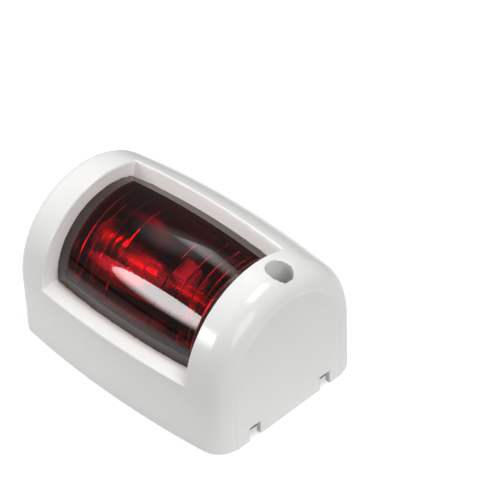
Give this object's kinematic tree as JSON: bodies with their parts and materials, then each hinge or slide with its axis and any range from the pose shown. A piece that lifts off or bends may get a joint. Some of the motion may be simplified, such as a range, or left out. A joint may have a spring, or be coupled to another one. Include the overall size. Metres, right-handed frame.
{
  "type": "navigation light",
  "caption": "Port sidelight with a bowed white cover, a recessed red sector lens and a bayonet bulb on a flat base, for a small boat's cabin side.",
  "frame": {"origin": "centre of the mounting face, which lies in the plane z = 0", "axes": "+X along the light towards the end with the cover screw and drain notches (down when mounted), -Y towards the window's sill (ahead when mounted), +Z away from the bulkhead"},
  "size_m": [0.09, 0.065, 0.0527],
  "materials": {
    "white_plastic": "glossy moulded plastic",
    "red_lens": "clear red moulded plastic",
    "sealant": "satin bead",
    "stainless": "satin",
    "rubber": "matt",
    "brass": "sheet",
    "base_plastic": "satin moulded plastic",
    "foam": "closed-cell foam",
    "matt_black": "matt",
    "plated_sheet": "bright plated sheet",
    "nickel": "bright nickel plate",
    "phenolic": "satin laminate",
    "spring_steel": "drawn wire",
    "red_pvc": "extruded sleeve",
    "black_pvc": "extruded sleeve",
    "cap_brass": "nickel-plated brass",
    "black_glass": "fused glass",
    "solder": "soldered tip",
    "clear_glass": "clear",
    "tungsten": "coiled wire",
    "support_wire": "drawn wire"
  },
  "bodies": {
    "base": {"base_plate": "base_plastic", "base_gasket": "foam", "screw_insert": "brass", "light_screen": "matt_black", "holder_bracket": "plated_sheet", "rivet_far": "stainless", "rivet_near": "stainless", "holder_shell": "nickel", "holder_insulator": "phenolic", "contact_spring": "spring_steel", "contact_terminal": "brass", "cable_grommet": "rubber", "lead_positive": "red_pvc", "lead_negative": "black_pvc"},
    "cover": {"cover": "white_plastic", "lens": "red_lens", "lens_seal": "sealant", "screw_washer": "rubber"},
    "cover_screw": {"cover_screw": "stainless"},
    "bulb": {"bulb_cap": "cap_brass", "bulb_insulator": "black_glass", "bulb_contact": "solder", "bulb_glass": "clear_glass", "bulb_filament": "tungsten", "filament_wire_a": "support_wire", "filament_wire_b": "support_wire"},
    "contact": {"contact_plunger": "brass"}
  },
  "joints": [
    {"name": "cover_tilt", "type": "hinge", "parent": "base", "child": "cover", "pos_m": [-0.0438, 0, 0.0012], "axis": [0, -1, 0], "range_deg": [0, 50]},
    {"name": "cover_screw_turn", "type": "hinge", "parent": "cover", "child": "cover_screw", "pos_m": [0.0384, 0.0034, 0.0123], "axis": [0, 0, 1], "continuous": true},
    {"name": "bulb_twist", "type": "hinge", "parent": "base", "child": "bulb", "pos_m": [-0.0182, 0, 0.0235], "axis": [1, 0, 0], "range_deg": [0, 30]},
    {"name": "contact_press", "type": "slide", "parent": "base", "child": "contact", "axis": [-1, 0, 0], "range_m": [0, 0.0008], "stiffness_N_per_m": 400, "springref_m": -0.002, "deforming": ["contact_spring"]}
  ]
}
